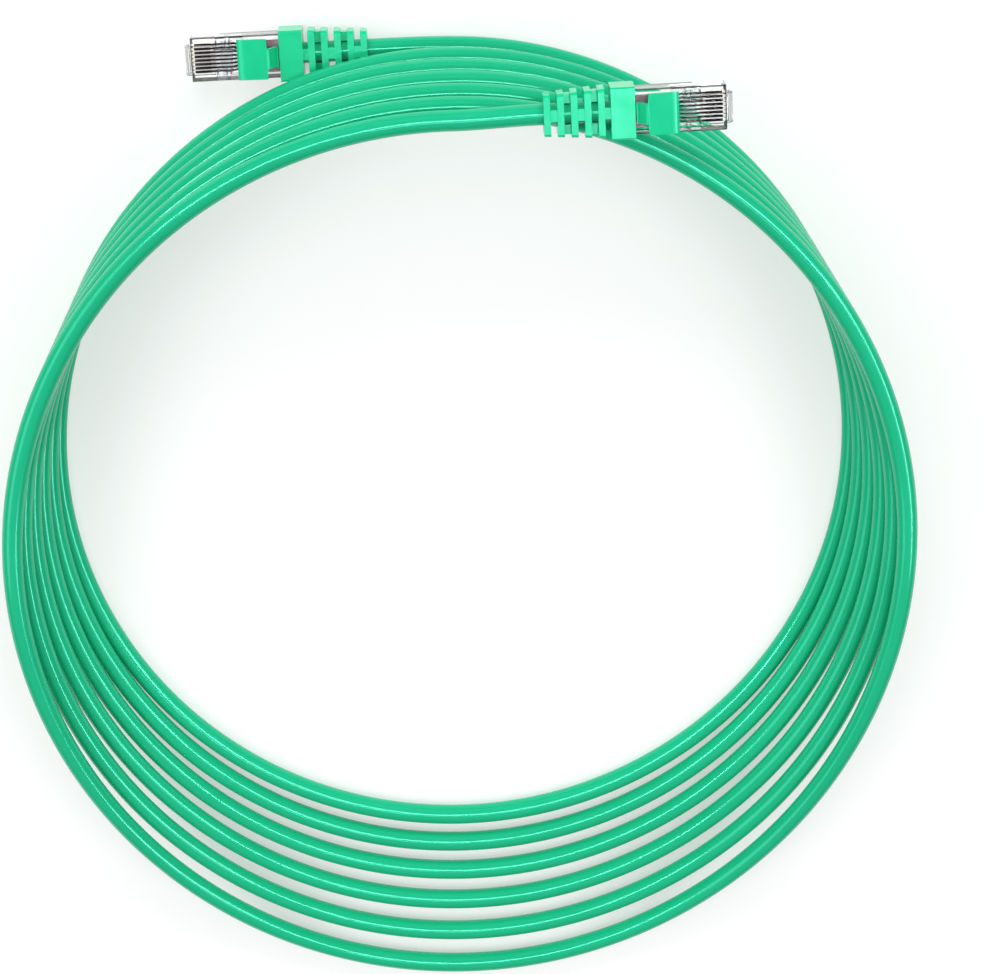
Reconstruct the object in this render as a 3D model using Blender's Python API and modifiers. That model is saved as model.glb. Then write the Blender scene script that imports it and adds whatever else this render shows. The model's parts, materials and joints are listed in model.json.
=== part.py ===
"""An ethernet patch cable lying on the floor in six loose turns.

The turns lie side by side at the front, ride up on each other at the sides and stay stacked
round the rear. Each end of the cord has a clear eight-way modular plug with a sprung latch,
gold contact blades, black conductors and a strain relief, and a moulded boot whose fins bend with the cord
and whose tongue covers the latch. Plug a lies on the floor, plug b on top of the stacked turns.

Lengths are in metres and +Z is up. The origin is on the floor, half way between the plugs.
Inside a plug, +X runs out through the nose, +Z is the latch side, and x = 0 is the nose face
on the cord's axis.
"""

import math

import bmesh
import bpy
import numpy as np
from mathutils import Vector

MM = 0.001
GAP = 0.3 * MM              # between pieces that touch
FINE_GAP = 0.15 * MM        # between the small pieces inside a plug
REACH = 2.0 * MM            # how far a cutter runs past the face that it opens

# Cord and coil
CORD_DIAMETER = 5.6 * MM
COIL_RADIUS = 110.0 * MM    # first turn, to the middle of the cord
COIL_TURNS = 6
COIL_REAR = (0.9 * MM, 6.1 * MM)        # where the first turn passes behind its own middle
FAN_POINT = (-11.5 * MM, 123.6 * MM)    # every turn is the first one enlarged about this point
FAN_GROWTH = 0.02426        # share by which each turn is enlarged
LEAN_HEIGHT = 766.0 * MM    # stacked turns lean towards a point this far above FAN_POINT
COIL_CENTRE = (COIL_REAR[0], COIL_REAR[1] - COIL_RADIUS)
CORD_RADIUS = CORD_DIAMETER / 2
STACK_STEP = CORD_DIAMETER + GAP
CLIMB_START = 0.80          # share of a turn where the cord starts to climb on the one below
CLIMB_END = 1.0
STACKED_TO = 88.0           # degrees from the rear within which the turns lie on each other
SPREAD_FROM = 168.0         # degrees from the rear beyond which they lie side by side
HUMP_AT = -21.0             # degrees from the rear where the turns pass over boot a
HUMP_WIDTH = 46.0
COIL_SLIT = 0.004           # share of a turn left open between the coil's two end faces
COIL_SECTIONS = 84
COIL_ROUNDING = 5           # points round each edge of the coil's section
TAIL_POINTS = 14

# Plug housing
HOUSING_WIDTH = 11.68 * MM
HOUSING_LENGTH = 24.8 * MM
HOUSING_WALL = 0.4 * MM     # over the cord
HOUSING_EDGE = 0.25 * MM
BORE_RADIUS = CORD_RADIUS + FINE_GAP + 0.1 * MM
HOUSING_HALF = BORE_RADIUS + HOUSING_WALL
JACKET_END = -15.5 * MM
CHAMBER_PLAY = 0.25 * MM    # each side of the load bar
CHAMBER_REAR = -14.2 * MM
CHAMBER_FRONT = -0.6 * MM
WINDOW_SPANS = ((-9.2 * MM, -6.7 * MM), (-14.0 * MM, -10.3 * MM))
WINDOW_WIDTH = 2.0 * MM
WINDOW_MARGIN = 0.74 * MM   # from a window to the housing's side
WINDOW_DEPTH = 0.6 * MM

# Strain relief that holds the jacket inside the housing
CLAMP_WIDTH = 8.4 * MM
CLAMP_HEIGHT = 4.4 * MM
CLAMP_PLATE = 0.75 * MM     # thickness of the wall in front of the jacket
CLAMP_SLOT_WIDTH = 4.8 * MM     # way through that wall for the conductors
CLAMP_SLOT_HEIGHT = 2.4 * MM

# Conductors, load bar and contacts
WAYS = 8
PITCH = 1.02 * MM
WIRE_DIAMETER = 0.7 * MM
WIRE_END = -0.9 * MM
LOAD_BAR_SPAN = (-11.0 * MM, -8.0 * MM)
LOAD_BAR_RIM = 0.33 * MM    # outside the outermost conductors
LOAD_BAR_HEIGHT = 2.4 * MM
CONTACT_SPAN = (-6.2 * MM, -0.6 * MM)
CONTACT_THICKNESS = 0.35 * MM
CONTACT_RECESS = 0.4 * MM
CONTACT_NOSE_RADIUS = 0.8 * MM
CONTACT_STEP = (-3.4 * MM, 0.7 * MM)    # where the blade's back drops, and by how much

# Latch
LATCH_THICKNESS = 0.8 * MM
LATCH_FOOT = 0.5 * MM       # height of the foot over the cord's axis
LATCH_HINGE_HEIGHT = 0.9 * MM
LATCH_LOOP = 1.5 * MM       # radius of the bend over the nose
LATCH_RISE = math.radians(6.6)
LATCH_SHOULDER = -6.4 * MM
LATCH_COVERED = 3.8 * MM    # length of the tail under the tongue's pad
LATCH_WIDTH = 7.8 * MM
LATCH_TAIL_WIDTH = 5.6 * MM

# Boot
COLLAR_LENGTH = 6.3 * MM
COLLAR_GRIP = 1.2 * MM      # length of the housing held inside the collar
COLLAR_WALL = 0.65 * MM
COLLAR_ROOF = 1.5 * MM
COLLAR_ROUNDING = 0.35 * MM
FIN_COUNT = 5
FIN_THICKNESS = 1.8 * MM
FIN_SPACING = 3.5 * MM
FIRST_FIN_GAP = 1.4 * MM    # between the collar and the fin next to it
FIRST_FIN_INSET = 0.29 * MM     # of the widest fin from the collar's side
REAR_FIN_WIDTH = 10.6 * MM
FRONT_FIN_WALL = 1.0 * MM   # of the fin over the bore, top and bottom
REAR_FIN_WALL = 0.7 * MM
FIN_CHAMFER = 0.65 * MM
WEB_WIDTH = 3.1 * MM        # of the bridges that join the fins, at top and bottom and at the sides
SIDE_WEB_INSET = 0.5 * MM   # of the bridges at the sides from the fins' ends
TONGUE_THICKNESS = 1.1 * MM
TONGUE_NECK_WIDTH = 5.3 * MM
TONGUE_PAD_WIDTH = 10.7 * MM
TONGUE_NECK_LENGTH = 3.2 * MM
TONGUE_PAD_LENGTH = 7.8 * MM

WINDOW_OUTER = HOUSING_WIDTH / 2 - WINDOW_MARGIN
WINDOW_INNER = WINDOW_OUTER - WINDOW_WIDTH
LOAD_BAR_WIDTH = (WAYS - 1) * PITCH + WIRE_DIAMETER + 2 * LOAD_BAR_RIM
CHAMBER_WIDTH = LOAD_BAR_WIDTH + 2 * CHAMBER_PLAY
CLAMP_SPAN = (GAP - HOUSING_LENGTH, JACKET_END + FINE_GAP + CLAMP_PLATE)
COLLAR_FRONT = COLLAR_GRIP - HOUSING_LENGTH
COLLAR_SPAN = (COLLAR_FRONT - COLLAR_LENGTH, COLLAR_FRONT)
TONGUE_PAD_REAR = COLLAR_FRONT + TONGUE_NECK_LENGTH
TONGUE_PAD_SPAN = (TONGUE_PAD_REAR, TONGUE_PAD_REAR + TONGUE_PAD_LENGTH)
LATCH_TAIL = TONGUE_PAD_SPAN[1] - LATCH_COVERED
COLLAR_BOTTOM = HOUSING_HALF + GAP + COLLAR_WALL
COLLAR_TOP = HOUSING_HALF + GAP + COLLAR_ROOF
COLLAR_WIDTH = HOUSING_WIDTH + 2 * (GAP + COLLAR_WALL)
FRONT_FIN_WIDTH = COLLAR_WIDTH - 2 * FIRST_FIN_INSET
BOOT_BORE_RADIUS = CORD_RADIUS + GAP
BOOT_END = COLLAR_SPAN[0] - FIRST_FIN_GAP - (FIN_COUNT - 1) * FIN_SPACING - FIN_THICKNESS
LATCH_FOOT_X = GAP + LATCH_THICKNESS / 2
LATCH_LOOP_X = LATCH_FOOT_X - 1.05 * MM
LATCH_LOOP_Z = HOUSING_HALF - 0.55 * MM
TONGUE_HINGE = (COLLAR_SPAN[1] + GAP / 2, HOUSING_HALF + GAP + COLLAR_ROOF / 2)

# Where the plugs lie
PLUG_HEADING = math.radians(2.7)
PLUG_NOSE = (69.7 * MM, -3.5 * MM)      # of plug b; plug a lies half a turn round from it
PLUG_A_HEIGHT = COLLAR_BOTTOM
REST_TURN = 5.03            # the place along the coil that carries boot b

SLEEVE_GREEN = (0.02, 0.46, 0.22)
CLEAR_PLASTIC = (0.86, 0.88, 0.89)
GOLD = (0.85, 0.62, 0.25)
CONDUCTOR_BLACK = (0.02, 0.018, 0.02)
CLAMP_GREY = (0.10, 0.065, 0.08)


# ---------------------------------------------------------------- scene and helpers

def clear_scene():
    """Remove every object that the file opened with."""
    for item in list(bpy.data.objects):
        bpy.data.objects.remove(item, do_unlink=True)


def new_collection(name):
    """A collection linked to the scene."""
    collection = bpy.data.collections.new(name)
    bpy.context.scene.collection.children.link(collection)
    return collection


def new_material(name, colour, roughness, metallic=0.0, alpha=1.0):
    """A Principled material of one colour."""
    material = bpy.data.materials.new(name)
    material.use_nodes = True
    shader = material.node_tree.nodes["Principled BSDF"]
    shader.inputs["Base Color"].default_value = (*colour, 1.0)
    shader.inputs["Roughness"].default_value = roughness
    shader.inputs["Metallic"].default_value = metallic
    shader.inputs["Alpha"].default_value = alpha
    return material


def ease(share):
    """Smooth step from 0 to 1 as share goes from 0 to 1."""
    share = min(max(share, 0.0), 1.0)
    return share * share * (3.0 - 2.0 * share)


def mix(first, last, share):
    """The value at a share of the way from first to last."""
    return first + (last - first) * share


def add_object(name, data, collection, parent=None, location=(0, 0, 0)):
    """Link an object that holds data, placed under its parent."""
    item = bpy.data.objects.new(name, data)
    item.parent = parent
    item.location = location
    collection.objects.link(item)
    return item


def mesh_from(name, build):
    """A mesh made by a function that fills a bmesh."""
    shape = bmesh.new()
    build(shape)
    bmesh.ops.recalc_face_normals(shape, faces=shape.faces)
    mesh = bpy.data.meshes.new(name)
    shape.to_mesh(mesh)
    shape.free()
    return mesh


def box_mesh(name, spans):
    """Separate boxes in one mesh, each given by its x, y and z spans."""
    def build(shape):
        for span in spans:
            low = Vector([min(pair) for pair in span])
            high = Vector([max(pair) for pair in span])
            corners = bmesh.ops.create_cube(shape, size=1.0)["verts"]
            bmesh.ops.scale(shape, vec=high - low, verts=corners)
            bmesh.ops.translate(shape, vec=(low + high) / 2, verts=corners)
    return mesh_from(name, build)


def rod_mesh(name, x_span, radius, sides, places=((0.0, 0.0),)):
    """Cylinders along X in one mesh, one at each (y, z) place."""
    def build(shape):
        for place in places:
            made = bmesh.ops.create_cone(
                shape, cap_ends=True, segments=sides, radius1=radius, radius2=radius,
                depth=x_span[1] - x_span[0])["verts"]
            turn = Vector((0, 0, 1)).rotation_difference(Vector((1, 0, 0))).to_matrix()
            bmesh.ops.rotate(shape, matrix=turn, verts=made)
            middle = Vector((sum(x_span) / 2, *place))
            bmesh.ops.translate(shape, vec=middle, verts=made)
    return mesh_from(name, build)


def loft_mesh(name, rings):
    """A closed skin over rings that have the same number of points, capped at both ends."""
    def build(shape):
        rows = [[shape.verts.new(point) for point in ring] for ring in rings]
        for near, far in zip(rows, rows[1:]):
            for i, corner in enumerate(near):
                j = (i + 1) % len(near)
                shape.faces.new((corner, near[j], far[j], far[i]))
        shape.faces.new(rows[0][::-1])
        shape.faces.new(rows[-1])
    return mesh_from(name, build)


def strip_mesh(name, stations, hinge):
    """A flat strip along a path in the XZ plane, drawn about its hinge.

    A station is (x, z, width, thickness); each section stands square to the path.
    """
    middle = np.array([station[:2] for station in stations])
    along = np.gradient(middle, axis=0)
    along /= np.linalg.norm(along, axis=1)[:, None]
    rings = []
    for (x, z, width, thickness), (dx, dz) in zip(stations, along):
        rise_x, rise_z = -dz * thickness / 2, dx * thickness / 2
        x -= hinge[0]
        z -= hinge[1]
        rings.append([
            (x + rise_x, width / 2, z + rise_z),
            (x + rise_x, -width / 2, z + rise_z),
            (x - rise_x, -width / 2, z - rise_z),
            (x - rise_x, width / 2, z - rise_z),
        ])
    return loft_mesh(name, rings)


def tube_curve(name, points, diameter, resolution):
    """A round tube along points, closed at both ends."""
    curve = bpy.data.curves.new(name, "CURVE")
    curve.dimensions = "3D"
    curve.bevel_depth = diameter / 2
    curve.bevel_resolution = resolution
    curve.use_fill_caps = True
    spline = curve.splines.new("POLY")
    spline.points.add(len(points) - 1)
    for slot, point in zip(spline.points, points):
        slot.co = (*point, 1.0)
    return curve


def outline_curve(name, outline, thickness):
    """A flat plate from an outline, lying in the curve's own XY plane."""
    curve = bpy.data.curves.new(name, "CURVE")
    curve.dimensions = "2D"
    curve.fill_mode = "BOTH"
    curve.extrude = thickness / 2
    spline = curve.splines.new("POLY")
    spline.use_cyclic_u = True
    spline.points.add(len(outline) - 1)
    for slot, point in zip(spline.points, outline):
        slot.co = (*point, 0.0, 1.0)
    return curve


def round_off(item, width):
    """Round an object's square edges."""
    bevel = item.modifiers.new("edges", "BEVEL")
    bevel.width = width
    bevel.segments = 2
    bevel.limit_method = "ANGLE"


def cut(item, name, mesh, cutters):
    """Take a cutter's shape out of an object."""
    tool = add_object(name, mesh, cutters, item.parent, item.location)
    tool.hide_render = True
    tool.display_type = "WIRE"
    boolean = item.modifiers.new(name, "BOOLEAN")
    boolean.operation = "DIFFERENCE"
    boolean.solver = "EXACT"
    boolean.object = tool


# ---------------------------------------------------------------- cord route

def turns_below(turn):
    """How many turns lie under the cord at this place along the coil."""
    whole = math.floor(turn)
    return whole + ease((turn - whole - CLIMB_START) / (CLIMB_END - CLIMB_START))


def hump_height():
    """Extra height that carries the first crossing turn over boot a."""
    first_crossing = 1.0 + HUMP_AT / 360.0
    return COLLAR_BOTTOM + COLLAR_TOP + GAP - STACK_STEP * turns_below(first_crossing)


def coil_point(turn):
    """The cord's middle at a number of turns from the start, clockwise from the rear."""
    angle = 2 * math.pi * turn
    growth = 1.0 / (1.0 - FAN_GROWTH * turn)
    flat = []
    for centre, fan, swing in zip(COIL_CENTRE, FAN_POINT, (math.sin(angle), math.cos(angle))):
        flat.append(fan + (centre + COIL_RADIUS * swing - fan) * growth)
    from_rear = (360.0 * turn + 180.0) % 360.0 - 180.0
    stacked = 1.0 - ease((abs(from_rear) - STACKED_TO) / (SPREAD_FROM - STACKED_TO))
    height = STACK_STEP * turns_below(turn) * stacked
    off_hump = (from_rear - HUMP_AT) / HUMP_WIDTH
    if turn > 0.5 and abs(off_hump) < 1.0:
        height += hump_height() * (1.0 + math.cos(math.pi * off_hump)) / 2
    lean = height / LEAN_HEIGHT
    x, y = (mix(place, fan, lean) for place, fan in zip(flat, FAN_POINT))
    return Vector((x, y, height + CORD_RADIUS))


def coil_heading(turn):
    """The cord's direction at a place along the coil."""
    step = 0.001
    return (coil_point(turn + step) - coil_point(turn - step)).normalized()


def coil_mesh():
    """The coil's outer shape: a ring whose section is the capsule round first and last turn."""
    rings = []
    for i in range(COIL_SECTIONS + 1):
        turn = mix(COIL_SLIT, 1.0 - COIL_SLIT, i / COIL_SECTIONS)
        first = coil_point(turn)
        last = coil_point(turn + COIL_TURNS - 1)
        across = (last - first).normalized()
        square = coil_heading(turn + (COIL_TURNS - 1) / 2).cross(across).normalized()
        ring = []
        for centre, side in ((first, -1.0), (last, 1.0)):
            for j in range(COIL_ROUNDING):
                angle = math.pi * (j / (COIL_ROUNDING - 1) - 0.5)
                spread = across * math.cos(angle) + square * math.sin(angle)
                ring.append(centre + spread * CORD_RADIUS * side)
        rings.append(ring)
    return loft_mesh("coil_turns", rings)


def tail_points(frame, coil_turn, coil_way):
    """From the jacket's end along the plug's axis, then one smooth bend on to the coil."""
    place = frame["place"]
    start = place((JACKET_END, 0, 0))
    leave = place((BOOT_END - CORD_DIAMETER / 2, 0, 0))
    join = coil_point(coil_turn) - coil_heading(coil_turn) * coil_way * GAP
    away = (leave - start).normalized()
    along = coil_heading(coil_turn) * coil_way
    reach = (join - leave).length
    points = [start, leave]
    for i in range(1, TAIL_POINTS):
        share = i / (TAIL_POINTS - 1)
        back = 1.0 - share
        points.append(
            leave * (back * back * (1 + 2 * share)) + join * (share * share * (3 - 2 * share))
            + away * (reach * share * back * back) - along * (reach * share * share * back))
    return points


# ---------------------------------------------------------------- plug pieces

def latch_line(x):
    """Height of the middle of the latch's strap over the cord's axis."""
    bend_end = math.pi / 2 - LATCH_RISE
    start_x = LATCH_LOOP_X + LATCH_LOOP * math.cos(bend_end)
    start_z = LATCH_LOOP_Z + LATCH_LOOP * math.sin(bend_end)
    return start_z + (start_x - x) * math.tan(LATCH_RISE)


def latch_stations():
    """Foot on the nose, bend over its edge, then the strap with its locking shoulders."""
    stations = [(LATCH_FOOT_X, LATCH_FOOT, LATCH_WIDTH, LATCH_THICKNESS)]
    bend_steps = 6
    bend = np.linspace(math.radians(-40), math.pi / 2 - LATCH_RISE, bend_steps)
    for angle in bend:
        stations.append((
            LATCH_LOOP_X + LATCH_LOOP * math.cos(angle),
            LATCH_LOOP_Z + LATCH_LOOP * math.sin(angle), LATCH_WIDTH, LATCH_THICKNESS))
    step = 0.2 * MM
    for x, width in (
            (LATCH_SHOULDER, LATCH_WIDTH), (LATCH_SHOULDER - step, LATCH_TAIL_WIDTH),
            (LATCH_TAIL, LATCH_TAIL_WIDTH)):
        stations.append((x, latch_line(x), width, LATCH_THICKNESS))
    return stations


def tongue_stations():
    """A neck that rises from the collar's front, then a pad parallel to the latch."""
    root_x = COLLAR_SPAN[1] + GAP
    pad_rear, pad_front = TONGUE_PAD_SPAN
    over_latch = (LATCH_THICKNESS + TONGUE_THICKNESS) / 2 + GAP
    pad_height = latch_line(pad_rear) + over_latch
    stations = [(root_x, TONGUE_HINGE[1], TONGUE_NECK_WIDTH, TONGUE_THICKNESS)]
    neck_steps = 6
    for i in range(neck_steps):
        share = i / (neck_steps - 1)
        x = mix(root_x + GAP, pad_rear - 0.1 * MM, share)
        z = mix(TONGUE_HINGE[1], pad_height, ease(share))
        stations.append((x, z, TONGUE_NECK_WIDTH, TONGUE_THICKNESS))
    nose = TONGUE_THICKNESS / 2
    for x, thickness in (
            (pad_rear, 1.0), (pad_front - nose, 1.0), (pad_front - 0.4 * nose, 0.8),
            (pad_front, 0.4)):
        stations.append((
            x, latch_line(x) + over_latch, TONGUE_PAD_WIDTH, thickness * TONGUE_THICKNESS))
    return stations


def contact_outline():
    """Side view of a contact blade: rounded at the nose, lower at the front of its back."""
    rear, front = CONTACT_SPAN
    bottom = CONTACT_RECESS - HOUSING_HALF
    top = -WIRE_DIAMETER / 2 - FINE_GAP
    outline = [(rear, top), (rear, bottom)]
    for angle in np.linspace(0, math.pi / 2, 5):
        outline.append((
            front - CONTACT_NOSE_RADIUS * (1 - math.sin(angle)),
            bottom + CONTACT_NOSE_RADIUS * (1 - math.cos(angle))))
    step_x, step_depth = CONTACT_STEP
    outline += [(front, top - step_depth), (step_x, top - step_depth), (step_x, top)]
    return outline


def way_offset(way):
    """Sideways place of one of the eight ways."""
    return (way - (WAYS - 1) / 2) * PITCH


def wire_points(way):
    """From a twisted pair at the jacket's end, out to the flat row and on to the nose."""
    pair, lower = divmod(way, 2)
    side = -1 if lower == 0 else 1
    start_x = JACKET_END + GAP
    row_x = LOAD_BAR_SPAN[0] - FINE_GAP
    points = []
    fan_steps = 5
    for i in range(fan_steps):
        share = ease(i / (fan_steps - 1))
        pair_y = (pair - 1.5) * PITCH * mix(1.03, 2.0, share)
        twist = share * math.pi / 2
        points.append((
            mix(start_x, row_x, i / (fan_steps - 1)),
            pair_y + side * PITCH / 2 * math.sin(twist), side * PITCH / 2 * math.cos(twist)))
    points.append((WIRE_END, way_offset(way), 0.0))
    return points


def fin_span(number):
    """The rear and front of a fin, numbered from the collar."""
    front = COLLAR_SPAN[0] - FIRST_FIN_GAP - number * FIN_SPACING
    return front - FIN_THICKNESS, front


def fin_width(x):
    """Width of the tapered boot at a place along it."""
    share = (COLLAR_SPAN[0] - x) / (COLLAR_SPAN[0] - BOOT_END)
    return mix(FRONT_FIN_WIDTH, REAR_FIN_WIDTH, share)


def fin_height(x):
    """Half the height of the tapered boot at a place along it."""
    share = (COLLAR_SPAN[0] - x) / (COLLAR_SPAN[0] - BOOT_END)
    return BOOT_BORE_RADIUS + mix(FRONT_FIN_WALL, REAR_FIN_WALL, share)


def corner_ring(x, half_width, bottom, top, radius, corner_steps):
    """A rectangle square to the cord at x, its corners rounded, or chamfered with two steps."""
    ring = []
    for quarter, (side, level) in enumerate(
            ((1, top), (-1, top), (-1, bottom), (1, bottom))):
        centre_y = side * (half_width - radius)
        centre_z = level - radius if level > 0 else level + radius
        for i in range(corner_steps):
            angle = math.pi / 2 * (quarter + i / (corner_steps - 1))
            ring.append((
                x, centre_y + radius * math.cos(angle), centre_z + radius * math.sin(angle)))
    return ring


def boot_mesh():
    """The tapered block of the fins with the collar in front of it."""
    rings = []
    for x in (BOOT_END, COLLAR_SPAN[0]):
        rings.append(corner_ring(
            x, fin_width(x) / 2, -fin_height(x), fin_height(x), FIN_CHAMFER, 2))
    for x in COLLAR_SPAN:
        rings.append(corner_ring(
            x, COLLAR_WIDTH / 2, -COLLAR_BOTTOM, COLLAR_TOP, COLLAR_ROUNDING, 2))
    return loft_mesh("boot", rings)


def fin_gaps():
    """The rear and front of each gap, from the one between the collar and the first fin."""
    fronts = [COLLAR_SPAN[0]] + [fin_span(i)[0] for i in range(FIN_COUNT - 1)]
    return [(fin_span(number)[1], front) for number, front in enumerate(fronts)]


def flex_slots():
    """Cuts that leave bridges at top and bottom of one gap and at the sides of the next."""
    slots = []
    outside = COLLAR_WIDTH
    for number, gap in enumerate(fin_gaps()):
        for side in (-1, 1):
            beyond_web = (side * WEB_WIDTH / 2, side * outside)
            if number % 2 == 0:
                slots.append((gap, beyond_web, (-outside, outside)))
            else:
                slots.append((gap, (-outside, outside), beyond_web))
    return slots


def side_trims():
    """Cuts that set the bridges at the sides a little inside the fins' ends."""
    outside = COLLAR_WIDTH
    trims = []
    for gap in fin_gaps()[1::2]:
        side_web = fin_width(sum(gap) / 2) / 2 - SIDE_WEB_INSET
        for side in (-1, 1):
            trims.append((gap, (side * side_web, side * outside), (-outside, outside)))
    return trims


def window_boxes():
    """Shallow pockets along both edges of the housing's top, and matching ones in its sides."""
    half_width = HOUSING_WIDTH / 2
    boxes = []
    for span in WINDOW_SPANS:
        for side in (-1, 1):
            boxes.append((
                span, (side * WINDOW_INNER, side * WINDOW_OUTER),
                (HOUSING_HALF - WINDOW_DEPTH, HOUSING_HALF + REACH)))
            boxes.append((
                span, (side * (half_width - WINDOW_DEPTH), side * (half_width + REACH)),
                (HOUSING_HALF * 0.15, HOUSING_HALF - 1.3 * WINDOW_DEPTH)))
    return boxes


def contact_slots():
    """The slots that hold the contact blades, open below and at the nose."""
    half_slot = CONTACT_THICKNESS / 2 + FINE_GAP
    rear = CONTACT_SPAN[0] - GAP
    top = -WIRE_DIAMETER / 2 - FINE_GAP / 2
    return [
        ((rear, REACH), (way_offset(way) - half_slot, way_offset(way) + half_slot),
         (-HOUSING_HALF - REACH, top)) for way in range(WAYS)]


def make_housing(plug, parts, cutters, material):
    """The clear body: jacket bore, conductor chamber, contact slots and window pockets."""
    half_width = HOUSING_WIDTH / 2
    body = ((-HOUSING_LENGTH, 0), (-half_width, half_width), (-HOUSING_HALF, HOUSING_HALF))
    name = "housing_" + plug["letter"]
    housing = add_object(name, box_mesh(name, [body]), parts, plug["empty"])
    housing.data.materials.append(material)
    round_off(housing, HOUSING_EDGE)
    bore = rod_mesh(
        "jacket_bore", (-HOUSING_LENGTH - REACH, JACKET_END + GAP), BORE_RADIUS, 24)
    cut(housing, "jacket_bore_" + plug["letter"], bore, cutters)
    half_clamp, clamp_room = CLAMP_WIDTH / 2 + FINE_GAP, CLAMP_HEIGHT / 2 + FINE_GAP
    clamp_seat = box_mesh("clamp_seat", [(
        (-HOUSING_LENGTH - REACH, CHAMBER_REAR + FINE_GAP), (-half_clamp, half_clamp),
        (-clamp_room, clamp_room))])
    cut(housing, "clamp_seat_" + plug["letter"], clamp_seat, cutters)
    half_chamber = CHAMBER_WIDTH / 2
    bar_room = LOAD_BAR_HEIGHT / 2 + FINE_GAP
    rear_room = box_mesh("load_bar_room", [(
        (CHAMBER_REAR, LOAD_BAR_SPAN[1] + GAP), (-half_chamber, half_chamber),
        (-bar_room, bar_room))])
    cut(housing, "load_bar_room_" + plug["letter"], rear_room, cutters)
    wire_room = WIRE_DIAMETER / 2 + FINE_GAP
    front_room = box_mesh("wire_room", [(
        (LOAD_BAR_SPAN[1], CHAMBER_FRONT), (-half_chamber, half_chamber),
        (-wire_room, wire_room))])
    cut(housing, "wire_room_" + plug["letter"], front_room, cutters)
    cut(housing, "contact_slots_" + plug["letter"],
        box_mesh("contact_slots", contact_slots()), cutters)
    cut(housing, "windows_" + plug["letter"], box_mesh("windows", window_boxes()), cutters)


def make_strain_relief(plug, parts, cutters, material):
    """Two cheeks beside the jacket, joined by a wall in front of it with a way for the wires."""
    name = "strain_relief_" + plug["letter"]
    half_width, half_height = CLAMP_WIDTH / 2, CLAMP_HEIGHT / 2
    block = (CLAMP_SPAN, (-half_width, half_width), (-half_height, half_height))
    clamp = add_object(name, box_mesh(name, [block]), parts, plug["empty"])
    clamp.data.materials.append(material)
    jacket = rod_mesh(
        "clamp_bore", (CLAMP_SPAN[0] - REACH, JACKET_END + FINE_GAP), CORD_RADIUS + FINE_GAP, 24)
    cut(clamp, "clamp_bore_" + plug["letter"], jacket, cutters)
    half_slot = CLAMP_SLOT_WIDTH / 2
    way = box_mesh("wire_way", [(
        (JACKET_END - REACH, CLAMP_SPAN[1] + REACH), (-half_slot, half_slot),
        (-CLAMP_SLOT_HEIGHT / 2, CLAMP_SLOT_HEIGHT / 2))])
    cut(clamp, "wire_way_" + plug["letter"], way, cutters)


def make_load_bar(plug, parts, cutters, material):
    """The comb that holds the eight conductors in a row."""
    name = "load_bar_" + plug["letter"]
    half_width, half_height = LOAD_BAR_WIDTH / 2, LOAD_BAR_HEIGHT / 2
    block = (LOAD_BAR_SPAN, (-half_width, half_width), (-half_height, half_height))
    bar = add_object(name, box_mesh(name, [block]), parts, plug["empty"])
    bar.data.materials.append(material)
    through = (LOAD_BAR_SPAN[0] - REACH, LOAD_BAR_SPAN[1] + REACH)
    places = [(way_offset(way), 0.0) for way in range(WAYS)]
    holes = rod_mesh("wire_holes", through, WIRE_DIAMETER / 2 + FINE_GAP / 2, 8, places)
    cut(bar, "wire_holes_" + plug["letter"], holes, cutters)


def make_boot(plug, parts, cutters, material):
    """Collar and flexing fins, moulded in one piece round the cord."""
    name = "boot_" + plug["letter"]
    boot = add_object(name, boot_mesh(), parts, plug["empty"])
    boot.data.materials.append(material)
    bore = rod_mesh(
        "boot_bore", (BOOT_END - REACH, COLLAR_SPAN[1] + REACH), BOOT_BORE_RADIUS, 20)
    cut(boot, "boot_bore_" + plug["letter"], bore, cutters)
    half_socket = HOUSING_WIDTH / 2 + GAP
    deep = HOUSING_HALF + GAP
    socket = box_mesh("socket", [(
        (-HOUSING_LENGTH - GAP, COLLAR_SPAN[1] + REACH), (-half_socket, half_socket),
        (-deep, deep))])
    cut(boot, "socket_" + plug["letter"], socket, cutters)
    cut(boot, "flex_slots_" + plug["letter"], box_mesh("flex_slots", flex_slots()), cutters)
    cut(boot, "side_trims_" + plug["letter"], box_mesh("side_trims", side_trims()), cutters)


def make_moving(plug, parts, clear, green):
    """The latch and the tongue, each with its origin on its own hinge."""
    latch_hinge = (LATCH_FOOT_X, LATCH_HINGE_HEIGHT)
    for name, stations, hinge, material in (
            ("latch_", latch_stations(), latch_hinge, clear),
            ("tongue_", tongue_stations(), TONGUE_HINGE, green)):
        name += plug["letter"]
        mesh = strip_mesh(name, stations, hinge)
        mesh.materials.append(material)
        add_object(name, mesh, parts, plug["empty"], (hinge[0], 0.0, hinge[1]))


def make_ways(plug, parts, contact_data, wire_material):
    """Eight contact blades and the eight conductors above them."""
    for way in range(WAYS):
        number = "_" + plug["letter"] + "_" + str(way + 1)
        contact = add_object(
            "contact" + number, contact_data, parts, plug["empty"],
            (0.0, way_offset(way), 0.0))
        contact.rotation_euler = (math.pi / 2, 0.0, 0.0)
        wire = add_object(
            "wire" + number, tube_curve("wire" + number, wire_points(way), WIRE_DIAMETER, 2),
            parts, plug["empty"])
        wire.data.materials.append(wire_material)


def plug_frame(letter, nose, heading, parts):
    """An empty at a plug's nose, and the function that takes its coordinates to the world."""
    empty = add_object("plug_" + letter, None, parts, location=nose)
    empty.rotation_euler = (0.0, 0.0, heading)
    ahead = Vector((math.cos(heading), math.sin(heading), 0.0))
    left = Vector((-ahead.y, ahead.x, 0.0))

    def place(point):
        return nose + ahead * point[0] + left * point[1] + Vector((0, 0, point[2]))
    return {"letter": letter, "empty": empty, "place": place}


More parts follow.
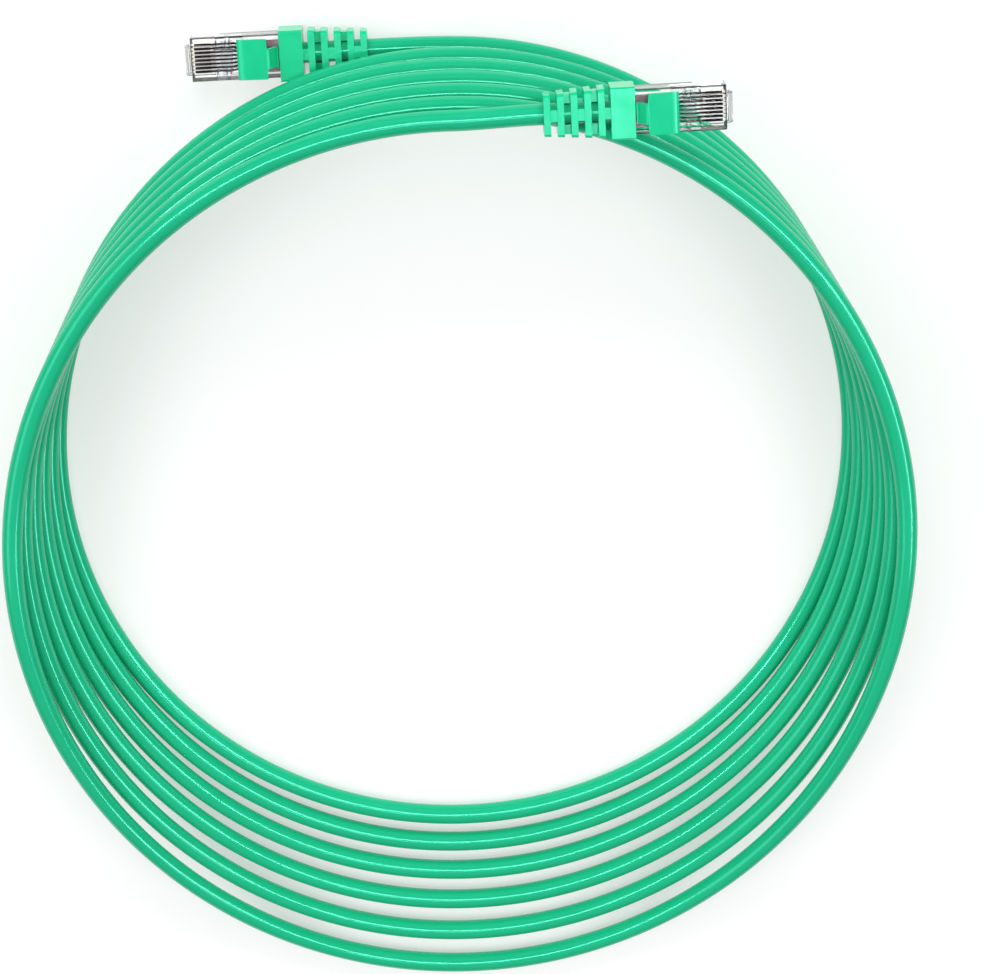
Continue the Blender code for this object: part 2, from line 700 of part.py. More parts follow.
def shade_smooth(parts):
    """Smooth shading with the square edges kept."""
    for item in parts.objects:
        if item.type == "MESH":
            item.data.shade_smooth()
            item.data.set_sharp_from_angle(angle=math.radians(35))


def build():
    """Make every piece of the cable."""
    clear_scene()
    parts = new_collection("ethernet_patch_cable")
    cutters = new_collection("cutters")
    green = new_material("cord_green", SLEEVE_GREEN, 0.32)
    boot_green = new_material("boot_green", SLEEVE_GREEN, 0.42)
    clear = new_material("clear_plastic", CLEAR_PLASTIC, 0.08, alpha=0.35)
    bar_clear = new_material("load_bar_plastic", CLEAR_PLASTIC, 0.2, alpha=0.6)
    gold = new_material("contact_gold", GOLD, 0.25, 1.0)
    black = new_material("conductor_black", CONDUCTOR_BLACK, 0.4)
    grey = new_material("strain_relief_grey", CLAMP_GREY, 0.45)

    coil = add_object("coil_turns", coil_mesh(), parts)
    coil.data.materials.append(green)
    contact_data = outline_curve("contact", contact_outline(), CONTACT_THICKNESS)
    contact_data.materials.append(gold)

    rest = coil_point(REST_TURN).z + CORD_RADIUS + GAP + fin_height(BOOT_END)
    nose_x, nose_y = PLUG_NOSE
    plug_a = plug_frame(
        "a", Vector((-nose_x, -nose_y, PLUG_A_HEIGHT)), PLUG_HEADING + math.pi, parts)
    plug_b = plug_frame("b", Vector((nose_x, nose_y, rest)), PLUG_HEADING, parts)
    for plug, turn, way in (
            (plug_a, COIL_SLIT, 1.0), (plug_b, COIL_TURNS - COIL_SLIT, -1.0)):
        make_housing(plug, parts, cutters, clear)
        make_strain_relief(plug, parts, cutters, grey)
        make_load_bar(plug, parts, cutters, bar_clear)
        make_boot(plug, parts, cutters, boot_green)
        make_moving(plug, parts, clear, boot_green)
        make_ways(plug, parts, contact_data, black)
        tail_name = "cord_tail_" + plug["letter"]
        tail = add_object(
            tail_name, tube_curve(tail_name, tail_points(plug, turn, way), CORD_DIAMETER, 4),
            parts)
        tail.data.materials.append(green)
    shade_smooth(parts)


build()
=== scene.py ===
"""An ethernet patch cable on a pale floor: six loose turns of green cord, and at each end a clear
eight-way plug with a sprung latch, in a green boot with flexing fins and a tongue over the latch.

Lengths are in metres. A plug's own coordinates have +X out through the nose, +Z on the latch
side, and x = 0 at the nose face on the cord's axis. Every outline is worked out in them and
then carried to the plug's place by its latch joint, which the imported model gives.
"""

import json
import math

import bpy
import numpy as np
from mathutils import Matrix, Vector


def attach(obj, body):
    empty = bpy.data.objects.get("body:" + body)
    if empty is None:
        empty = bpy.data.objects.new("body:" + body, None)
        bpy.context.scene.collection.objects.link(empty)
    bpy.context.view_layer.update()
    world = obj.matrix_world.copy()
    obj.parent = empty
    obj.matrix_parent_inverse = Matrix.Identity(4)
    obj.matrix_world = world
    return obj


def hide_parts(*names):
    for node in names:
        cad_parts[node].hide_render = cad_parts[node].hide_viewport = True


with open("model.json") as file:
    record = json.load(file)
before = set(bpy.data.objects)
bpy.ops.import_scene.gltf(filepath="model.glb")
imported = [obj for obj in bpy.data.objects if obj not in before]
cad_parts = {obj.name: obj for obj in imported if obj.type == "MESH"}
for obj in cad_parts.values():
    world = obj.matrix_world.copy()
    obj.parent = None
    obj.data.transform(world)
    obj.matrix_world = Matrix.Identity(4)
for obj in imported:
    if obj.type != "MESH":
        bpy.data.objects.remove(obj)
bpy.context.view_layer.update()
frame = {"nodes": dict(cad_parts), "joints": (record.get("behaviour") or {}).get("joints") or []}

MM = 0.001
GAP = 0.3 * MM
SHARP_ANGLE = math.radians(32)          # an edge that turns more is sharp, and is rounded
UP = np.array([0.0, 0.0, 1.0])

# Cord and coil
CORD_DIAMETER = 5.6 * MM
CORD_RADIUS = CORD_DIAMETER / 2
COIL_RADIUS = 110.0 * MM
COIL_TURNS = 6
COIL_REAR = (0.9 * MM, 6.1 * MM)        # the first turn's rearmost point
FAN_POINT = (-11.5 * MM, 123.6 * MM)    # every turn is the first, enlarged about this point
FAN_GROWTH = 0.02426
LEAN_HEIGHT = 766.0 * MM                # a stack this high would lean all the way to it
STACK_STEP = CORD_DIAMETER + GAP
CLIMB_START, CLIMB_END = 0.80, 1.0      # share of a turn, where it rises on to the last one
STACKED_TO, SPREAD_FROM = 88.0, 168.0       # degrees from the rear
HUMP_AT, HUMP_WIDTH = -21.0, 46.0           # degrees from the rear
COIL_SLIT = 0.004                       # turns left to the tails at each end
POINTS_PER_TURN = 280
TAIL_POINTS = 48
CORD_SIDES = 28
STRAIGHT_POINTS = 16                    # of a tail, from the jacket's end to the boot's end

# Plug housing, latch and conductors
HOUSING_WIDTH = 11.68 * MM
HOUSING_LENGTH = 24.8 * MM
HOUSING_WALL = 0.65 * MM
HOUSING_HALF = CORD_RADIUS + HOUSING_WALL
WINDOW_SPANS = ((-9.2 * MM, -6.7 * MM), (-14.0 * MM, -10.3 * MM))
WINDOW_ACROSS = (3.1 * MM, 5.1 * MM)    # from the middle, on both sides of it
EDGE_SHADE_WIDTH = 0.5 * MM                    # width of the dark painted shade along a housing's edges
WINDOW_SHADE_WIDTH = 0.13 * MM                 # and half its width round the windows
LATCH_SHADE_WIDTH = 0.26 * MM                  # and its width along a latch's edges
JACKET_END = -15.5 * MM
WAYS = 8
PITCH = 1.02 * MM
PAIR_SPACING = (1.03, 2.0)              # pitches from pair to pair, in the jacket and the row
ROW = (-11.0 * MM, -0.9 * MM)           # the straight part of the conductors, rear to front
ROW_LEAD = 0.15 * MM                    # left free for the turn from the fan into the row
CONDUCTOR_RADIUS = (0.28 * MM, 0.36 * MM)       # before the contact, and under it
CONTACT_REAR = -5.4 * MM
SWELL_LENGTH = 0.5 * MM
FAN_POINTS, ROW_POINTS = 24, 60
CONDUCTOR_SIDES = 12
LATCH_HINGE = (0.7 * MM, 0.9 * MM)
LATCH_THICKNESS = 0.8 * MM
LATCH_FOOT_HEIGHT = 0.5 * MM
LATCH_LOOP = 1.5 * MM
LATCH_LOOP_CENTRE = (-0.35 * MM, HOUSING_HALF - 0.55 * MM)
LATCH_RISE = math.radians(6.6)
LATCH_SHOULDER = -6.4 * MM
LATCH_TAIL = -16.4 * MM
LATCH_WIDTH = 7.8 * MM
LATCH_TAIL_WIDTH = 5.6 * MM
LATCH_STEP = 0.12 * MM                  # length over which it narrows behind its shoulders
LATCH_FLAT = 0.6 * MM                   # of the shoulders, in front of that
LATCH_FOOT_ANGLE = math.radians(-40)    # where the foot runs into the bend
LATCH_BEND_POINTS = 16
LATCH_BEVEL = 0.1 * MM

# Boot
COLLAR = (-29.9 * MM, -23.6 * MM)
COLLAR_SOCKET = -HOUSING_LENGTH - GAP
COLLAR_WIDTH = HOUSING_WIDTH + 1.9 * MM
COLLAR_BOTTOM = HOUSING_HALF + 0.95 * MM
COLLAR_TOP = HOUSING_HALF + 1.8 * MM
COLLAR_CHAMFER = 0.35 * MM
FIN_COUNT = 5
FIN_THICKNESS = 1.8 * MM
FIN_SPACING = 3.5 * MM
FIRST_FIN_GAP = 1.4 * MM
FIN_CHAMFER = 0.65 * MM
FRONT_FIN = (13.0 * MM, 1.0 * MM)       # width, and wall over the bore
REAR_FIN = (10.6 * MM, 0.7 * MM)
BORE_RADIUS = CORD_RADIUS + GAP
BOOT_END = COLLAR[0] - FIRST_FIN_GAP - (FIN_COUNT - 1) * FIN_SPACING - FIN_THICKNESS
WEB_WIDTH = 3.1 * MM
WEB_INSET = 0.08 * MM                   # of a top or bottom bridge from the fins' ends
SIDE_WEB_INSET = 0.5 * MM
WEB_SINK = 0.3 * MM                     # how far a bridge runs into the fins beside it
WEB_CLEARANCE = 0.04 * MM               # from the bore's wall
WEB_POINTS = 9
BOOT_BEVEL = 0.13 * MM
TONGUE_THICKNESS = 1.1 * MM
TONGUE_ROOT_RISE = 0.75 * MM            # of the root's middle over the housing's clearance
TONGUE_NECK_WIDTH = 5.3 * MM
TONGUE_PAD_WIDTH = 10.7 * MM
TONGUE_PAD = (-20.4 * MM, -12.6 * MM)
TONGUE_STEP = 0.1 * MM                  # length over which the neck widens to the pad
TONGUE_NOSE = 2.4 * MM                  # length of the pad's rolled front edge
NOSE_EDGE = 0.25                        # share of the thickness left at the nose's tip
NOSE_REACH = 0.97                       # share of the ellipse that is drawn
NECK_POINTS, NOSE_POINTS = 12, 9
TONGUE_BEVEL = 0.14 * MM
ROOT_BODY = "cord_and_plugs"

# Looks
DULL_SHEEN = (0.03, 0.03, 0.03, 1.0)    # on clear plastic, so that what lies inside shows
GREEN_SHEEN = (0.25, 1.0, 0.8, 1.0)     # reflections on the green plastic
PLASTIC_IOR = 1.5
RELIEF = 0.05 * MM                      # height of the grain and of the jacket's lines
HOUSING_PAINTED_SHADE, LATCH_PAINTED_SHADE = 0.95, 0.7      # how much the painted shade along the edges darkens them
CLEAR_SHADE, BAR_SHADE = 0.12, 0.2      # share of its shadow that a clear piece keeps
FLOOR_TONE = (0.5, 0.54)
FLOOR_GLOW = 0.43
SKY_HEIGHT = (0.05, 0.6)                # Z of the directions between which the sky brightens
SKY_LEVEL = (0.12, 0.8)
SEEN_LEVEL = 0.93                       # of the sky where it is seen past the floor's end


# ---------------------------------------------------------------- meshes from arrays

def ease(share):
    """3 s^2 - 2 s^3, held at 0 and 1 outside that span."""
    share = np.clip(share, 0.0, 1.0)
    return share * share * (3.0 - 2.0 * share)


def unit(vectors):
    """Each vector divided by its length."""
    return vectors / np.linalg.norm(vectors, axis=-1, keepdims=True)


def grid_piece(name, shells, bevel=0.0, uv=None):
    """One object from closed shells, each a (rows, columns, 3) array of points.

    Columns always wrap. A shell marked "ring" wraps its rows too, and one marked "tube" is
    closed by a face over its first and last row. uv gives the (rows, columns + 1, 2) places
    of a single tube.
    """
    points, faces, start = [], [], 0
    for form, rows_of_points in shells:
        rows, columns = rows_of_points.shape[:2]
        r, c = np.meshgrid(
            np.arange(rows if form == "ring" else rows - 1), np.arange(columns), indexing="ij")
        next_r, next_c = (r + 1) % rows, (c + 1) % columns
        quads = np.stack([
            r * columns + c, r * columns + next_c,
            next_r * columns + next_c, next_r * columns + c], axis=-1) + start
        faces += quads.reshape(-1, 4).tolist()
        if form == "tube":
            faces.append((np.arange(columns)[::-1] + start).tolist())
            faces.append((np.arange(columns) + start + (rows - 1) * columns).tolist())
        points.append(rows_of_points.reshape(-1, 3))
        start += rows * columns
    mesh = bpy.data.meshes.new(name)
    mesh.from_pydata(np.concatenate(points).tolist(), [], faces)
    if uv is not None:
        rows, columns = uv.shape[0], uv.shape[1] - 1
        r, c = np.meshgrid(np.arange(rows - 1), np.arange(columns), indexing="ij")
        corners = np.stack([uv[r, c], uv[r, c + 1], uv[r + 1, c + 1], uv[r + 1, c]], axis=2)
        flat = np.zeros((len(mesh.loops), 2))
        flat[:corners.size // 2] = corners.reshape(-1, 2)
        mesh.uv_layers.new(name="along").data.foreach_set("uv", flat.ravel())
    mesh.validate()
    mesh.shade_smooth()
    mesh.set_sharp_from_angle(angle=SHARP_ANGLE)
    piece = bpy.data.objects.new(name, mesh)
    bpy.context.scene.collection.objects.link(piece)
    if bevel:
        rounding = piece.modifiers.new("rounded_edges", "BEVEL")
        rounding.width = bevel
        rounding.segments = 3
        rounding.limit_method = "ANGLE"
        rounding.angle_limit = SHARP_ANGLE
        rounding.harden_normals = True
    return piece


def faces_outward(form, points):
    """The shell with its columns reversed if its enclosed volume comes out negative.

    The volume is a sixth of the sum of p . (q x r) over the triangles of its quads.
    """
    rows = np.concatenate([points, points[:1]]) if form == "ring" else points
    closed = np.concatenate([rows, rows[:, :1]], axis=1)
    if form == "tube":
        middle = [closed[k].mean(axis=0, keepdims=True) for k in (0, -1)]
        caps = [np.repeat(m[None], closed.shape[1], axis=1) for m in middle]
        closed = np.concatenate([caps[0], closed, caps[1]])
    a, b = closed[:-1, :-1], closed[:-1, 1:]
    c, d = closed[1:, 1:], closed[1:, :-1]
    volume = (a * np.cross(b, c)).sum() + (a * np.cross(c, d)).sum()
    return form, points if volume > 0 else points[:, ::-1]


def strip(stations):
    """A bar along a path in a plug's XZ plane: a rectangle carried square to the path.

    A station is (x, z of the bar's middle, width, thickness).
    """
    x, z, width, thickness = np.array(stations).T
    along = unit(np.gradient(np.stack([x, z], axis=1), axis=0))
    corner_y = np.array([0.5, -0.5, -0.5, 0.5])
    corner_t = np.array([0.5, 0.5, -0.5, -0.5])
    rise = thickness[:, None] * corner_t
    return np.stack([
        x[:, None] - along[:, 1:2] * rise, width[:, None] * corner_y,
        z[:, None] + along[:, 0:1] * rise], axis=-1)


def tube_rings(path, radius, sides):
    """Rings of points round a path: radius (side cos a + up sin a) at each of its points.

    radius is one length, or one for each point of the path.
    """
    along = unit(np.gradient(path, axis=0))
    side = unit(np.cross(along, UP))
    up = np.cross(side, along)
    angle = 2 * math.pi * np.arange(sides) / sides
    return path[:, None] + np.reshape(radius, (-1, 1, 1)) * (
        side[:, None] * np.cos(angle)[:, None] + up[:, None] * np.sin(angle)[:, None])


# ---------------------------------------------------------------- where things lie

def plug_place(letter):
    """The function that carries a plug's own coordinates to the floor's.

    The latch's hinge lies at LATCH_HINGE in the plug and its axis is the plug's +Y, so the
    nose is that hinge moved back, and +X is the axis crossed with up.
    """
    joint = next(j for j in frame["joints"] if j["name"] == "latch_press_" + letter)
    left = np.array(joint["axis"])
    ahead = np.cross(left, UP)
    nose = np.array(joint["pos_m"]) - ahead * LATCH_HINGE[0] - UP * LATCH_HINGE[1]

    def place(points):
        points = np.asarray(points, float)
        return nose + points @ np.stack([ahead, left, UP])
    return place


PLACES = {letter: plug_place(letter) for letter in "ab"}


# ---------------------------------------------------------------- cord

def turns_below(turn):
    """How many turns lie under the cord: whole turns, eased up over the last fifth."""
    whole = np.floor(turn)
    return whole + ease((turn - whole - CLIMB_START) / (CLIMB_END - CLIMB_START))


def coil_points(turn):
    """The cord's middle at each number of turns from its start, clockwise from the rear.

    The first turn is a circle. Each further one is it enlarged by 1 / (1 - FAN_GROWTH turn)
    about FAN_POINT. Its height is STACK_STEP for each turn below within STACKED_TO degrees of
    the rear, easing to the floor at SPREAD_FROM, plus a raised cosine over boot a, and it
    leans towards FAN_POINT by height / LEAN_HEIGHT.
    """
    angle = 2 * math.pi * turn
    fan = np.array(FAN_POINT)
    centre = np.array([COIL_REAR[0], COIL_REAR[1] - COIL_RADIUS])
    swing = np.stack([np.sin(angle), np.cos(angle)], axis=-1)
    growth = 1.0 / (1.0 - FAN_GROWTH * turn)
    flat = fan + (centre + COIL_RADIUS * swing - fan) * growth[:, None]
    from_rear = (360.0 * turn + 180.0) % 360.0 - 180.0
    stacked = 1.0 - ease((np.abs(from_rear) - STACKED_TO) / (SPREAD_FROM - STACKED_TO))
    height = STACK_STEP * turns_below(turn) * stacked
    off_hump = np.clip((from_rear - HUMP_AT) / HUMP_WIDTH, -1.0, 1.0)
    hump = COLLAR_BOTTOM + COLLAR_TOP + GAP - STACK_STEP * turns_below(1.0 + HUMP_AT / 360.0)
    height = height + np.where(turn > 0.5, hump * (1.0 + np.cos(math.pi * off_hump)) / 2, 0.0)
    lean = (height / LEAN_HEIGHT)[:, None]
    flat = flat + (fan - flat) * lean
    return np.concatenate([flat, (height + CORD_RADIUS)[:, None]], axis=1)


def tail_points(place, coil_turn, coil_way):
    """From the jacket's end straight out of the boot, then a cubic Hermite bend to the coil."""
    start, leave = place([(JACKET_END, 0, 0), (BOOT_END - CORD_RADIUS, 0, 0)])
    step = 0.001
    near = coil_points(np.array([coil_turn - step, coil_turn, coil_turn + step]))
    join = near[1]
    along = unit(near[2] - near[0]) * coil_way
    away = unit(leave - start)
    reach = np.linalg.norm(join - leave)
    share = np.linspace(0, 1, STRAIGHT_POINTS, endpoint=False)[:, None]
    straight = start + (leave - start) * share
    s = np.linspace(0, 1, TAIL_POINTS, endpoint=False)[:, None]
    bend = (
        leave * ((1 - s) ** 2 * (1 + 2 * s)) + join * ease(s)
        + away * (reach * s * (1 - s) ** 2) - along * (reach * s * s * (1 - s)))
    return np.concatenate([straight, bend])


def make_cord(material):
    """One round tube along the whole route: tail a, the turns, tail b."""
    turns = np.linspace(
        COIL_SLIT, COIL_TURNS - COIL_SLIT, round(POINTS_PER_TURN * (COIL_TURNS - 2 * COIL_SLIT)))
    path = np.concatenate([
        tail_points(PLACES["a"], turns[0], 1.0), coil_points(turns),
        tail_points(PLACES["b"], turns[-1], -1.0)[::-1]])
    shell = faces_outward("tube", tube_rings(path, CORD_RADIUS, CORD_SIDES))
    steps = np.linalg.norm(np.diff(path, axis=0), axis=1)
    travelled = np.concatenate([[0.0], np.cumsum(steps)])
    around = np.arange(CORD_SIDES + 1) / CORD_SIDES
    uv = np.stack(np.meshgrid(travelled, around, indexing="ij"), axis=-1)
    cord = grid_piece("patch_cord", [shell], uv=uv)
    cord.data.materials.append(material)
    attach(cord, ROOT_BODY)
    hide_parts("coil_turns", "cord_tail_a", "cord_tail_b")


# ---------------------------------------------------------------- boot

def chamfered_outline(half_width, bottom, top, chamfer):
    """A rectangle with its corners cut at 45 degrees, each of its eight sides divided evenly."""
    y, c = half_width, chamfer
    corners = np.array([
        (y, bottom + c), (y, top - c), (y - c, top), (c - y, top),
        (-y, top - c), (-y, bottom + c), (c - y, bottom), (y - c, bottom)])
    divisions = 6
    share = (np.arange(divisions) / divisions)[:, None]
    following = np.roll(corners, -1, axis=0)
    return np.concatenate([a + (b - a) * share for a, b in zip(corners, following)])


def rectangle_by_angle(angle, half_width, half_height):
    """The point of a rectangle's outline in each direction from its middle."""
    y, z = np.cos(angle), np.sin(angle)
    reach = 1.0 / np.maximum(np.abs(y) / half_width, np.abs(z) / half_height)
    return np.stack([y * reach, z * reach], axis=1)


def at_x(x, outline):
    """A YZ outline stood up at a place along the plug."""
    return np.concatenate([np.full((len(outline), 1), x), outline], axis=1)


def fin_size(x):
    """Half width and half height of the tapered boot: both fall evenly from front to rear."""
    share = (COLLAR[0] - x) / (COLLAR[0] - BOOT_END)
    width = FRONT_FIN[0] + (REAR_FIN[0] - FRONT_FIN[0]) * share
    wall = FRONT_FIN[1] + (REAR_FIN[1] - FRONT_FIN[1]) * share
    return width / 2, BORE_RADIUS + wall


def collar_shell():
    """Outer box, then the rectangular socket for the housing, then the round bore behind it."""
    outer = chamfered_outline(COLLAR_WIDTH / 2, -COLLAR_BOTTOM, COLLAR_TOP, COLLAR_CHAMFER)
    angle = np.arctan2(outer[:, 1], outer[:, 0])
    bore = BORE_RADIUS * np.stack([np.cos(angle), np.sin(angle)], axis=1)
    socket = rectangle_by_angle(angle, HOUSING_WIDTH / 2 + GAP, HOUSING_HALF + GAP)
    return np.stack([
        at_x(COLLAR[0], outer), at_x(COLLAR[1], outer), at_x(COLLAR[1], socket),
        at_x(COLLAR_SOCKET, socket), at_x(COLLAR_SOCKET, bore), at_x(COLLAR[0], bore)])


def fin_shell(rear, front):
    """A chamfered rectangle outside and the round bore inside, joined front and rear."""
    outlines = []
    for x in (rear, front):
        half_width, half_height = fin_size(x)
        outlines.append(chamfered_outline(half_width, -half_height, half_height, FIN_CHAMFER))
    angle = np.arctan2(outlines[0][:, 1], outlines[0][:, 0])
    bore = BORE_RADIUS * np.stack([np.cos(angle), np.sin(angle)], axis=1)
    return np.stack([
        at_x(rear, outlines[0]), at_x(front, outlines[1]), at_x(front, bore), at_x(rear, bore)])


def web_shell(rear, front, turned, side):
    """A bridge between two fins: flat outside, and inside it follows the bore's arc."""
    across = np.linspace(-WEB_WIDTH / 2, WEB_WIDTH / 2, WEB_POINTS)
    inner = np.sqrt((BORE_RADIUS + WEB_CLEARANCE) ** 2 - across ** 2)
    rows = []
    for x in (rear - WEB_SINK, front + WEB_SINK):
        half_width, half_height = fin_size(x)
        reach = half_width - SIDE_WEB_INSET if turned else half_height - WEB_INSET
        out = np.stack([across, np.full(WEB_POINTS, reach)], axis=1)
        back = np.stack([across, inner], axis=1)[::-1]
        ring = np.concatenate([out, back])
        ring[:, 1] *= side
        rows.append(at_x(x, ring[:, ::-1] if turned else ring))
    return np.stack(rows)


def make_boot(letter, material):
    """Collar, five fins, and bridges that stand at top and bottom, then at the sides."""
    fronts = COLLAR[0] - FIRST_FIN_GAP - FIN_SPACING * np.arange(FIN_COUNT)
    shells = [("ring", collar_shell())]
    gap_front = COLLAR[0]
    for number, front in enumerate(fronts):
        shells.append(("ring", fin_shell(front - FIN_THICKNESS, front)))
        for side in (-1, 1):
            shells.append(("tube", web_shell(front, gap_front, number % 2 == 1, side)))
        gap_front = front - FIN_THICKNESS
    place = PLACES[letter]
    boot = grid_piece(
        "boot_" + letter + "_moulding",
        [faces_outward(form, place(points)) for form, points in shells], bevel=BOOT_BEVEL)
    boot.data.materials.append(material)
    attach(boot, ROOT_BODY)
    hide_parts("boot_" + letter)


# ---------------------------------------------------------------- latch and tongue

def latch_line(x):
    """Height of the middle of the latch's strap: a straight line from the end of its bend."""
    bend_end = math.pi / 2 - LATCH_RISE
    start_x = LATCH_LOOP_CENTRE[0] + LATCH_LOOP * math.cos(bend_end)
    start_z = LATCH_LOOP_CENTRE[1] + LATCH_LOOP * math.sin(bend_end)
    return start_z + (start_x - x) * math.tan(LATCH_RISE)


def make_latch(letter, material):
    """Foot up the nose, an arc over its edge, then the strap, narrower behind its shoulders."""
    bend = np.linspace(LATCH_FOOT_ANGLE, math.pi / 2 - LATCH_RISE, LATCH_BEND_POINTS)
    arc_x = LATCH_LOOP_CENTRE[0] + LATCH_LOOP * np.cos(bend)
    arc_z = LATCH_LOOP_CENTRE[1] + LATCH_LOOP * np.sin(bend)
    stations = [(LATCH_HINGE[0], LATCH_FOOT_HEIGHT, LATCH_WIDTH, LATCH_THICKNESS)]
    stations += [(x, z, LATCH_WIDTH, LATCH_THICKNESS) for x, z in zip(arc_x, arc_z)]
    for x, width in (
            (LATCH_SHOULDER + LATCH_FLAT, LATCH_WIDTH), (LATCH_SHOULDER, LATCH_WIDTH),
            (LATCH_SHOULDER - LATCH_STEP, LATCH_TAIL_WIDTH), (LATCH_TAIL, LATCH_TAIL_WIDTH)):
        stations.append((x, latch_line(x), width, LATCH_THICKNESS))
    shell = faces_outward("tube", PLACES[letter](strip(stations)))
    latch = grid_piece("latch_" + letter + "_moulding", [shell], bevel=LATCH_BEVEL)
    latch.data.materials.append(material)
    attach(latch, "latch_lever_" + letter)
    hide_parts("latch_" + letter)


def make_tongue(letter, material):
    """A neck that rises to the pad by the ease curve; the pad's front rolls down as an ellipse."""
    root_x = COLLAR[1] + GAP
    root_z = HOUSING_HALF + GAP + TONGUE_ROOT_RISE
    over_latch = (LATCH_THICKNESS + TONGUE_THICKNESS) / 2 + GAP
    pad_z = latch_line(TONGUE_PAD[0]) + over_latch
    stations = [(root_x, root_z, TONGUE_NECK_WIDTH, TONGUE_THICKNESS)]
    for share in np.linspace(0, 1, NECK_POINTS):
        x = root_x + GAP + (TONGUE_PAD[0] - TONGUE_STEP - root_x - GAP) * share
        z = root_z + (pad_z - root_z) * float(ease(share))
        stations.append((x, z, TONGUE_NECK_WIDTH, TONGUE_THICKNESS))
    stations.append((TONGUE_PAD[0], pad_z, TONGUE_PAD_WIDTH, TONGUE_THICKNESS))
    for share in np.linspace(0, NOSE_REACH, NOSE_POINTS):
        x = TONGUE_PAD[1] - TONGUE_NOSE * (1 - share)
        round_off = NOSE_EDGE + (1 - NOSE_EDGE) * math.sqrt(1 - share * share)
        thickness = TONGUE_THICKNESS * round_off
        drop = (TONGUE_THICKNESS - thickness) / 2
        stations.append((x, latch_line(x) + over_latch - drop, TONGUE_PAD_WIDTH, thickness))
    shell = faces_outward("tube", PLACES[letter](strip(stations)))
    tongue = grid_piece("tongue_" + letter + "_moulding", [shell], bevel=TONGUE_BEVEL)
    tongue.data.materials.append(material)
    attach(tongue, "boot_tongue_" + letter)
    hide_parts("tongue_" + letter)


# ---------------------------------------------------------------- conductors

def conductor_route(way):
    """From its twisted pair, out to the flat row by the ease curve, and on to the nose."""
    pair, second = divmod(way, 2)
    side = 1 if second else -1
    s = np.linspace(0, 1, FAN_POINTS)
    fan = ease(s)
    twist = fan * math.pi / 2
    x = JACKET_END + GAP + (ROW[0] - ROW_LEAD - JACKET_END - GAP) * s
    spacing = PITCH * (PAIR_SPACING[0] + (PAIR_SPACING[1] - PAIR_SPACING[0]) * fan)
    y = (pair - (WAYS / 2 - 1) / 2) * spacing + side * PITCH / 2 * np.sin(twist)
    z = side * PITCH / 2 * np.cos(twist)
    row_x = np.linspace(ROW[0], ROW[1], ROW_POINTS)
    row_y = np.full(ROW_POINTS, (way - (WAYS - 1) / 2) * PITCH)
    return np.concatenate([
        np.stack([x, y, z], axis=1), np.stack([row_x, row_y, np.zeros(ROW_POINTS)], axis=1)])


def make_conductor(letter, way, material):
    """A round wire whose radius swells by the ease curve where its contact bites."""
    path = conductor_route(way)
    thin, thick = CONDUCTOR_RADIUS
    swell = ease((path[:, 0] - CONTACT_REAR) / SWELL_LENGTH)
    rings = tube_rings(path, thin + (thick - thin) * swell, CONDUCTOR_SIDES)
    number = letter + "_" + str(way + 1)
    shell = faces_outward("tube", PLACES[letter](rings))
    wire = grid_piece("conductor_" + number, [shell])
    wire.data.materials.append(material)
    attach(wire, ROOT_BODY)
    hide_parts("wire_" + number)


# ---------------------------------------------------------------- materials

def add_node(tree, kind, links=None, **settings):
    """A node with its settings, its inputs taken from values or from other nodes' outputs."""
    made = tree.nodes.new(kind)
    for key, value in settings.items():
        setattr(made, key, value)
    for key, value in (links or {}).items():
        if isinstance(value, bpy.types.NodeSocket):
            tree.links.new(value, made.inputs[key])
        else:
            made.inputs[key].default_value = value
    return made


def new_group(name, inputs, outputs):
    """A shader node group with its sockets, and its input and output nodes."""
    tree = bpy.data.node_groups.new(name, "ShaderNodeTree")
    for socket_name, kind, value in inputs:
        socket = tree.interface.new_socket(socket_name, in_out="INPUT", socket_type=kind)
        socket.default_value = value
    for socket_name, kind in outputs:
        tree.interface.new_socket(socket_name, in_out="OUTPUT", socket_type=kind)
    return tree, tree.nodes.new("NodeGroupInput"), tree.nodes.new("NodeGroupOutput")


def finish_group(name, tone_change, relief_depth, *further):
    """A group that turns a colour, a change of tone and two glosses into a varying finish.

    tone_change and relief_depth name those two inputs, and further lists any more as a new
    group takes them. It comes with its nodes for the inputs, and a function that joins the
    texture for tone and gloss and the texture for relief to the outputs.
    """
    tree, given, out = new_group(
        name,
        (("Colour", "NodeSocketColor", (0.5, 0.5, 0.5, 1.0)),
         (tone_change, "NodeSocketFloat", 0.08),
         ("Gloss Low", "NodeSocketFloat", 0.2), ("Gloss High", "NodeSocketFloat", 0.3),
         (relief_depth, "NodeSocketFloat", 0.1)) + further,
        (("Colour", "NodeSocketColor"), ("Roughness", "NodeSocketFloat"),
         ("Normal", "NodeSocketVector")))

    def join(cloud, relief):
        shade = add_node(tree, "ShaderNodeMath", {0: cloud, 1: -0.5}, operation="ADD")
        amount = add_node(
            tree, "ShaderNodeMath",
            {0: shade.outputs[0], 1: given.outputs[tone_change], 2: 1.0},
            operation="MULTIPLY_ADD")
        tone = add_node(
            tree, "ShaderNodeVectorMath",
            {0: given.outputs["Colour"], "Scale": amount.outputs[0]}, operation="SCALE")
        gloss = add_node(
            tree, "ShaderNodeMapRange",
            {"Value": cloud, "From Min": 0.3, "From Max": 0.7,
             "To Min": given.outputs["Gloss Low"], "To Max": given.outputs["Gloss High"]})
        bump = add_node(
            tree, "ShaderNodeBump",
            {"Height": relief, "Strength": given.outputs[relief_depth], "Distance": RELIEF})
        tree.links.new(tone.outputs[0], out.inputs["Colour"])
        tree.links.new(gloss.outputs[0], out.inputs["Roughness"])
        tree.links.new(bump.outputs[0], out.inputs["Normal"])
        return tree
    return tree, given, join


